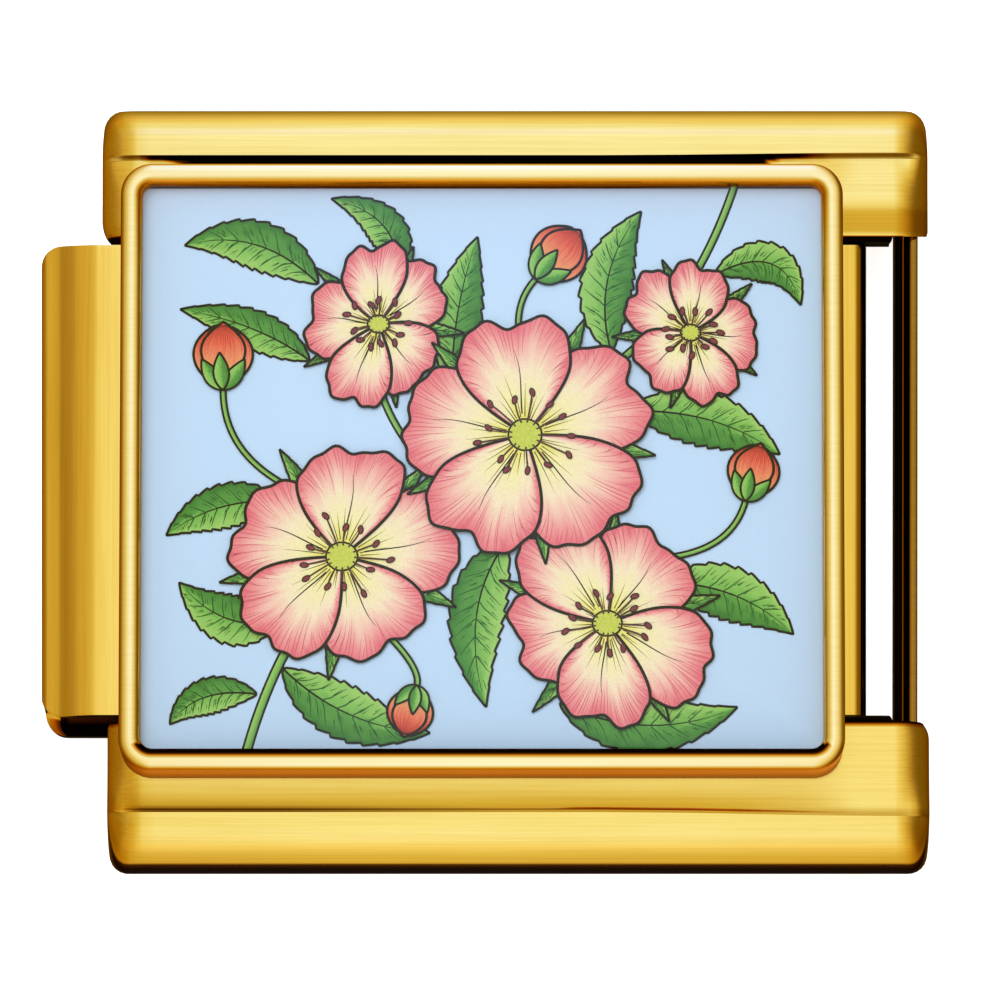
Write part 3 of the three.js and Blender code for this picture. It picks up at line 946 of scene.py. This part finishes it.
# The printed picture: a loose spray of round-petalled blossoms, buds and toothed leaves. Each colour of ink
# is one piece of thin films, laid one over another and finished with pen lines.
spray = {
    "film": 0.003,  # from one layer to the next
    "pen": 0.036,  # the outlines' full width
    "fineLine": 0.013,
    "petalSpread": 47.0,  # degrees to each side of a petal's middle
    "petalLines": 52,
    "petalCreases": 9,
    "heart": 0.13,  # of the blossom's reach
    "stamens": 13,
    "stamenWidth": 0.02,
    "anther": (0.052, 0.03),
    "leafTeeth": 11,
    "leafVeins": 7,
    "leafStrokes": 30,
    "budStemWidth": 0.06,
    "budStrokes": 15,
    # half width and length of a usual petal, bud leaf or leaf, width and length of its streaks of tone, how
    # strong they are, and a seed
    "streaks": {"petal": ((0.9, 1.2), (0.1, 1.0), 0.42, 3.0), "bud": ((0.18, 0.7), (0.03, 0.7), 0.5, 5.0),
                "leaf": ((0.3, 1.35), (0.1, 0.15), 0.5, 1.0)},
    # x and y from the plate's middle, reach, turn, which way it leans, how flat it looks, and its layer
    "blossoms": [
        (-1.62, -1.0, 1.42, 12, 35, 0.90, 12), (1.45, -1.78, 1.32, 50, -50, 0.86, 12),
        (-1.2, 1.72, 0.98, 30, 70, 0.82, 12), (2.42, 1.62, 0.9, 3, 110, 0.84, 12),
        (0.5, 0.42, 1.5, 27, 10, 0.95, 20),
    ],
    # where each bud's stem starts, how it bends, and where the bud sits; then the bud's length
    "buds": [
        ((-2.2, -0.2), (-3.0, 0.2), (-3.0, 0.95), 0.8), ((0.5, 1.3), (0.3, 1.9), (0.62, 2.25), 0.78),
        ((2.2, -1.0), (2.9, -0.9), (3.05, -0.35), 0.7), ((-1.1, -1.9), (-0.7, -2.3), (-0.75, -2.5), 0.62),
    ],
    "stems": [
        ((-2.75, -3.4), (-2.35, -1.8), (-1.3, -0.8), 0.1), ((-1.3, -0.8), (0.3, 0.8), (1.6, 1.3), 0.09),
        ((1.6, 1.3), (2.5, 2.0), (2.95, 3.4), 0.08), ((-0.6, 0.0), (-1.4, 0.9), (-1.2, 1.7), 0.07),
        ((0.8, 0.6), (1.3, -0.6), (1.5, -1.8), 0.08),
    ],
    "leaves": [
        ((-2.35, -1.75), (-3.0, -1.9), (-3.5, -1.3), 0.3), ((-2.3, -2.3), (-1.6, -3.0), (-0.6, -3.05), 0.33),
        ((-2.3, -0.35), (-3.1, -0.3), (-3.65, -0.75), 0.27), ((-0.35, 1.0), (-0.35, 1.9), (-0.05, 2.75), 0.3),
        ((1.5, 1.4), (1.25, 2.3), (1.85, 3.05), 0.32), ((1.7, 0.7), (2.7, 0.75), (3.45, 0.2), 0.34),
        ((2.1, -1.3), (3.0, -1.3), (3.6, -1.9), 0.33), ((0.9, -2.7), (1.9, -3.2), (2.95, -2.75), 0.34),
        ((0.3, -0.8), (-0.3, -1.6), (0.05, -2.75), 0.34), ((-1.9, 2.2), (-2.6, 2.9), (-3.45, 2.65), 0.3),
        ((-1.0, 2.3), (-0.9, 3.0), (-1.75, 3.2), 0.24), ((2.7, 2.3), (3.5, 2.75), (3.7, 1.95), 0.25),
        ((-2.0, 1.3), (-2.6, 1.75), (-3.5, 1.9), 0.24), ((-2.6, -2.6), (-3.3, -2.5), (-3.6, -2.95), 0.22),
    ],
}
pen = random.Random(11)
inkFilms = {}


def layInk(ink, points, faces, places, level):
    film = inkFilms.setdefault(ink, {"points": [], "faces": [], "places": []})
    start = len(film["points"])
    height = plateTop + 0.001 + level * spray["film"]
    film["points"] += [(trayMiddle + x, y, height) for x, y in points]
    film["faces"] += [tuple(start + i for i in face) for face in faces]
    film["places"] += [(u, v, 0.0) for u, v in places]


def inkPatch(ink, shape, level, across, along):
    # shape takes -1 to 1 across and 0 to 1 along, and gives a place on the plate
    places = [(-1 + 2 * j / across, i / along) for i in range(along + 1) for j in range(across + 1)]
    layInk(ink, [shape(u, v) for u, v in places], gridFaces(along + 1, across + 1), places, level)


def inkLine(ink, line, width, level, taper=0.0):
    # a pen stroke that keeps its width, or thins to nothing towards its end
    points, places = [], []
    for i, (x, y) in enumerate(line):
        x0, y0 = line[max(i - 1, 0)]
        x1, y1 = line[min(i + 1, len(line) - 1)]
        length = math.hypot(x1 - x0, y1 - y0) or 1.0
        share = i / (len(line) - 1)
        half = width / 2 * (1 - taper * share ** 1.5)
        normal = ((y1 - y0) / length * half, -(x1 - x0) / length * half)
        points += [(x - normal[0], y - normal[1]), (x + normal[0], y + normal[1])]
        places += [(-1, share), (1, share)]
    layInk(ink, points, gridFaces(len(line), 2), places, level)


def fineStroke(ink, shape, start, end, steps, width, level, taper=0.9):
    # a thin pen line from one place of a shape straight to another
    line = [shape(*[a + (b - a) * s / steps for a, b in zip(start, end)]) for s in range(steps + 1)]
    inkLine(ink, line, spray["fineLine"] * width, level, taper)


def bend(start, middle, end, share):
    back = 1 - share
    weights = back * back, 2 * back * share, share * share
    return [sum(w * place for w, place in zip(weights, axis)) for axis in zip(start, middle, end)]


def besideBend(curve, share, before, after, offset):
    # a place this far to the right of a curve, whose direction is read from just before to just after it
    (x, y), (xa, ya), (xb, yb) = [bend(*curve, s) for s in (share, before, after)]
    length = math.hypot(xb - xa, yb - ya)
    return x + (yb - ya) / length * offset, y - (xb - xa) / length * offset


def leafShape(start, middle, end, width, teeth=0, fullness=0.85):
    def shape(u, v):
        half = width * math.sin(math.pi * min(max(v, 0.0), 1.0) ** fullness) ** 0.9
        if teeth:
            half *= 1 - 0.13 * ((v * teeth) % 1.0)
        return besideBend((start, middle, end), v, max(v - 0.01, 0), min(v + 0.01, 1), half * u)
    return shape


def outlineOf(shape, steps):
    up = [shape(-1, i / steps) for i in range(steps + 1)]
    return up + [shape(1, i / steps) for i in range(steps, -1, -1)]


def drawLeaf(start, middle, end, width, level):
    shape = leafShape(start, middle, end, width, teeth=spray["leafTeeth"])
    inkPatch("leafGreenInk", shape, level, across=8, along=44)
    inkLine("darkPenInk", outlineOf(shape, 66), spray["pen"] * 0.8, level + 0.6)
    inkLine("darkPenInk", [shape(0, i / 14) for i in range(14)], spray["pen"] * 0.7, level + 0.6, 0.8)
    for side in (-1, 1):
        for i in range(spray["leafVeins"]):
            v = 0.1 + 0.105 * i
            vein = [shape(side * (0.04 + 0.8 * s / 4), v + 0.1 * (s / 4) ** 0.8) for s in range(5)]
            inkLine("deepGreenPenInk", vein, spray["fineLine"] * 1.3, level + 0.3, 0.7)
        for i in range(spray["leafStrokes"]):
            v, u = pen.uniform(0.05, 0.9), pen.uniform(0.1, 0.5)
            start, end = (side * u, v), (side * (u + 0.3), v + 0.035)
            fineStroke("deepGreenPenInk", shape, start, end, 2, 0.8, level + 0.25)


def drawStem(start, middle, end, width, level):
    def shape(u, v):
        return besideBend((start, middle, end), v, v, v + 0.01, width * u / 2)
    inkPatch("stemGreenInk", shape, level, across=4, along=20)
    for side in (-1, 1):
        inkLine("darkPenInk", [shape(side, i / 20) for i in range(21)], spray["pen"] * 0.7, level + 0.6)


def petalShape(centre, reach, angle, lean, flatness, wave):
    spread = math.radians(spray["petalSpread"])
    leanCos, leanSin = math.cos(math.radians(lean)), math.sin(math.radians(lean))

    def shape(u, v):
        s = math.sin(u * math.pi / 2)
        notch = 0.085 * math.exp(-(s / 0.16) ** 2)
        ruffle = 0.02 * math.sin(9 * s + wave) + 0.012 * math.sin(23 * s)
        edge = reach * max(1 - abs(s) ** 3.0, 0.0) ** 0.42 * (1 - notch + ruffle)
        turn = math.radians(angle) - spread * s * (0.7 + 0.3 * v)
        x, y = v * edge * math.cos(turn), v * edge * math.sin(turn)
        along, across = x * leanCos + y * leanSin, (y * leanCos - x * leanSin) * flatness
        return centre[0] + along * leanCos - across * leanSin, centre[1] + along * leanSin + across * leanCos
    return shape


def drawPetal(shape, level):
    inkPatch("petalInk", shape, level, across=40, along=7)
    inkLine("darkPenInk", [shape(-1 + 2 * i / 90, 1) for i in range(91)], spray["pen"], level + 0.6)
    for i in range(spray["petalLines"]):
        u = -0.93 + 1.86 * (i + pen.uniform(0, 0.8)) / spray["petalLines"]
        length, width = pen.uniform(0.1, 0.42), pen.uniform(0.7, 1.25)
        fineStroke("rosePenInk", shape, (u, 0.985), (u * 0.84, 0.985 - length), 4, width, level + 0.3, 0.95)
    for i in range(spray["petalCreases"]):
        u = -0.75 + 1.5 * (i + pen.uniform(0, 0.6)) / spray["petalCreases"]
        length = pen.uniform(0.16, 0.4)
        fineStroke("brownPenInk", shape, (u, 0.16), (u, 0.16 + length), 4, 0.9, level + 0.35)
    midrib = [shape(0.05 * math.sin(3 * s / 10), 0.2 + 0.6 * s / 10) for s in range(11)]
    inkLine("darkPenInk", midrib, spray["pen"] * 0.5, level + 0.4, 0.85)


def ovalPatch(ink, centre, radii, turn, level, steps=18):
    def shape(u, v):
        angle = -math.pi * u
        x, y = radii[0] * v * math.cos(angle), radii[1] * v * math.sin(angle)
        return (centre[0] + x * math.cos(turn) - y * math.sin(turn),
                centre[1] + x * math.sin(turn) + y * math.cos(turn))
    inkPatch(ink, shape, level, across=steps, along=3)
    return [shape(-1 + 2 * i / steps, 1) for i in range(steps + 1)]


def drawBlossom(x, y, reach, turn, lean, flatness, level):
    def around(angle, share, flat=1.0):
        return x + share * reach * math.cos(angle), y + share * reach * math.sin(angle) * flat

    for i in range(5):
        tip = around(math.radians(turn + 72 * i + 36), 1.02)
        drawLeaf((x, y), ((x + tip[0]) / 2 + 0.05, (y + tip[1]) / 2), tip, 0.1 * reach, level - 1)
    for i in (0, 2, 4, 1, 3):
        size = reach * pen.uniform(0.95, 1.04)
        angle, wave = turn + 72 * i + pen.uniform(-4, 4), pen.uniform(0, 6)
        drawPetal(petalShape((x, y), size, angle, lean, flatness, wave), level)
        level += 1
    heart = spray["heart"] * reach
    rim = ovalPatch("heartInk", (x, y), (heart, heart * flatness), 0, level)
    inkLine("darkPenInk", rim, spray["pen"] * 0.6, level + 0.5)
    for i in range(spray["stamens"]):
        angle = 2 * math.pi * (i + pen.uniform(-0.25, 0.25)) / spray["stamens"]
        start, tip = [around(angle, share, flatness) for share in (0.1, pen.uniform(0.26, 0.4))]
        middle = ((start[0] + tip[0]) / 2 + pen.uniform(-0.04, 0.04), (start[1] + tip[1]) / 2)
        line = [bend(start, middle, tip, s / 6) for s in range(7)]
        inkLine("brownPenInk", line, spray["stamenWidth"], level + 0.6)
        tilt = angle + pen.uniform(-0.7, 0.7)
        head = ovalPatch("antherInk", tip, spray["anther"], tilt, level + 1, steps=10)
        inkLine("darkPenInk", head, 0.012, level + 1.5)


def drawBud(start, middle, end, length, level):
    drawStem(start, middle, end, spray["budStemWidth"], 6)
    ahead = math.atan2(end[1] - middle[1], end[0] - middle[0])
    scale = length / 0.75

    def reachTo(angle, share):
        angle += ahead
        return end[0] + share * length * math.cos(angle), end[1] + share * length * math.sin(angle)

    for i, (side, width, share) in enumerate(((0.28, 0.2, 0.95), (-0.28, 0.2, 0.93), (0.0, 0.24, 1.0))):
        middle, tip = reachTo(side * 1.9, 0.5), reachTo(side * 0.45, share)
        shape = leafShape(end, middle, tip, width * scale, fullness=1.25)
        inkPatch("budInk", shape, level + i, across=8, along=16)
        inkLine("darkPenInk", outlineOf(shape, 30), spray["pen"] * 0.85, level + i + 0.6)
        for j in range(spray["budStrokes"]):
            u, reach = -0.85 + 1.7 * j / (spray["budStrokes"] - 1), pen.uniform(0.2, 0.5)
            fineStroke("coralPenInk", shape, (u, 0.95), (u, 0.95 - reach), 3, 1.0, level + i + 0.3)
    for i, side in enumerate((0.75, -0.75, 0.12)):
        shape = leafShape(end, reachTo(side, 0.28), reachTo(side * 0.8, 0.55), 0.085 * scale)
        inkPatch("leafGreenInk", shape, level + 3 + i, across=6, along=14)
        inkLine("darkPenInk", outlineOf(shape, 24), spray["pen"] * 0.7, level + i + 3.6)


def inkParts(tree):
    place = addNode(tree, "Attribute", attribute_name="inkPlace").outputs["Vector"]
    return place, addNode(tree, "SeparateXYZ", [("Vector", place)]).outputs


def addStreaks(tree, place, share, piece):
    # shifts a share of tone in fine streaks that run from a petal's or leaf's base to its edge
    (halfWidth, length), (wide, long), strength, seed = spray["streaks"][piece]
    scaled = addNode(tree, "Mapping", [
        ("Vector", place), ("Scale", (halfWidth / wide, length / long, 1.0)), ("Location", (seed, 0.0, 0.0))])
    noise = addNode(tree, "TexNoise", [("Vector", scaled), ("Scale", 1.0), ("Detail", 2.0)])
    streak = addNode(tree, "Math", [(0, noise), (1, strength), (2, -strength / 2)], operation="MULTIPLY_ADD")
    return addNode(tree, "Math", [(0, share), (1, streak)])


def petalPaint(tree):
    # yellow at the heart, cream in the middle, and rose that runs in from the edge in streaks
    place, parts = inkParts(tree)
    aside = addNode(tree, "Math", [(0, parts["X"])], operation="ABSOLUTE")
    steep = addNode(tree, "Math", [(0, aside), (1, 4.0)], operation="POWER")
    lifted = addNode(tree, "Math", [(0, steep), (1, 0.18), (2, parts["Y"])], operation="MULTIPLY_ADD")
    return addNode(tree, "ValToRGB", [("Fac", addStreaks(tree, place, lifted, "petal"))], [
        (0.0, "#D6D04C"), (0.14, "#F2E96F"), (0.34, "#FAF0B4"), (0.58, "#FBE8C6"), (0.74, "#F9C9B8"),
        (0.88, "#F29A9A"), (1.0, "#E8707E")])


def budPaint(tree):
    # yellow at the base, and red from the middle to the tip
    place, parts = inkParts(tree)
    return addNode(tree, "ValToRGB", [("Fac", addStreaks(tree, place, parts["Y"], "bud"))], [
        (0.0, "#F4D766"), (0.25, "#F5B76C"), (0.5, "#F08A66"), (0.75, "#E9604A"), (1.0, "#DC4A3C")])


def leafPaint(tree):
    # one half of a leaf lies in its own shade
    place, parts = inkParts(tree)
    side = addNode(tree, "MapRange", [("Value", parts["X"]), ("From Min", -1.0), ("From Max", 1.0)])
    return addNode(tree, "ValToRGB", [("Fac", addStreaks(tree, place, side, "leaf"))], [
        (0.0, "#A5D070"), (0.3, "#8CC25F"), (0.5, "#74B152"), (0.56, "#5C9C45"), (0.85, "#4A8A3C"),
        (1.0, "#3C7834")])


def stemPaint(tree):
    # a round stem, lit from one side
    parts = inkParts(tree)[1]
    side = addNode(tree, "MapRange", [("Value", parts["X"]), ("From Min", -1.0), ("From Max", 1.0)])
    return addNode(tree, "ValToRGB", [("Fac", side)], [(0.0, "#A9D373"), (0.5, "#86BC5C"), (1.0, "#4F8C40")])


def makeSpray(setup):
    for stem in setup["stems"]:
        drawStem(*stem, 0)
    for i, leaf in enumerate(setup["leaves"]):
        drawLeaf(*leaf, 2 + i % 3)
    for bud in setup["buds"]:
        drawBud(*bud, 8)
    for blossom in setup["blossoms"]:
        drawBlossom(*blossom)
    inks = {
        "petalInk": (petalPaint, "#F4F1EE", "#FFFFFF"), "budInk": (budPaint, "#F0ECE8", "#FFFFFF"),
        "leafGreenInk": (leafPaint, "#EEF2EA", "#FFFFFF"), "stemGreenInk": (stemPaint, "#EEF2EA", "#FFFFFF"),
        "heartInk": (None, "#B9C24A", "#D2D860"), "antherInk": (None, "#6E2638", "#8C3A44"),
        "darkPenInk": (None, "#140E0A", "#1E1712"), "brownPenInk": (None, "#4A2A22", "#5C382C"),
        "rosePenInk": (None, "#D4586C", "#E0707E"), "coralPenInk": (None, "#B5352C", "#C64A3A"),
        "deepGreenPenInk": (None, "#23531F", "#2F6428"),
    }
    for name, film in inkFilms.items():
        paint, low, high = inks[name]
        piece = makePiece("print." + name, film["points"], film["faces"], makeInk(name, paint, (low, high)))
        places = piece.data.attributes.new("inkPlace", "FLOAT_VECTOR", "POINT")
        for i, place in enumerate(film["places"]):
            places.data[i].vector = place
        settle(piece, "link", "print_insert")


makeSpray(spray)
print("spray printed:", sum(len(film["faces"]) for film in inkFilms.values()), "faces")


# The clear cast over the print, swollen by its own surface tension.
domeLow, domeHigh = boxInMm("epoxy_dome")
dome = {"edgeZ": 2.89, "corner": 0.14, "gap": 0.004, "underside": 0.22, "rings": 14, "index": 1.5,
        "rippleSize": 2.381, "rippleDepth": 0.01}


def makeClearEpoxy(setup):
    # clear from above: only its gloss shows, stronger at a slant
    material, tree = newMaterial("clearEpoxy")
    place = addNode(tree, "TexCoord").outputs["Object"]
    ripple = addNode(tree, "TexNoise", [
        ("Vector", place), ("Scale", 1 / (setup["rippleSize"] * toMetres)), ("Detail", 1.0)])
    bump = addNode(tree, "Bump", [
        ("Height", ripple), ("Strength", 0.5), ("Distance", setup["rippleDepth"] * toMetres)])
    edgeOn = addNode(tree, "Fresnel", [("IOR", setup["index"]), ("Normal", bump)])
    facing = addNode(tree, "NewGeometry").outputs["Backfacing"]
    front = addNode(tree, "Math", [(0, 1.0), (1, facing)], operation="SUBTRACT")
    share = addNode(tree, "Math", [(0, edgeOn), (1, front)], operation="MULTIPLY")
    clear = addNode(tree, "BsdfTransparent", [("Color", hexColour("#FCFDFD"))])
    gloss = addNode(tree, "BsdfGlossy", [("Roughness", 0.04), ("Normal", bump)])
    showShader(tree, addNode(tree, "MixShader", [(0, share), (1, clear), (2, gloss)]))
    return material


def makeDome(setup):
    halfLength, halfWidth = [size - setup["gap"] for size in tray["opening"]]
    rise, shift = domeHigh.z - setup["edgeZ"], tray["shift"][1]
    loops = [[(x, y + shift, domeLow.z + setup["underside"])
              for x, y in roundedLoop(trayMiddle, halfLength, halfWidth, setup["corner"])]]
    for ring in range(setup["rings"]):
        share = 1 - (ring / setup["rings"]) ** 1.4
        outline = roundedLoop(trayMiddle, halfLength * share, halfWidth * share, setup["corner"] * share)
        loop = []
        for x, y in outline:
            across, along = abs(x - trayMiddle) / halfLength, abs(y) / halfWidth
            swell = (1 - min(across, 1) ** 4) * (1 - min(along, 1) ** 4)
            loop.append((x, y + shift, setup["edgeZ"] + rise * swell))
        loops.append(loop)
    piece = loftLoops("clearDome", loops, makeClearEpoxy(setup))
    piece.data.set_sharp_from_angle(angle=math.radians(50))
    settle(piece, "link", "epoxy_dome")


makeDome(dome)
print("dome cast")
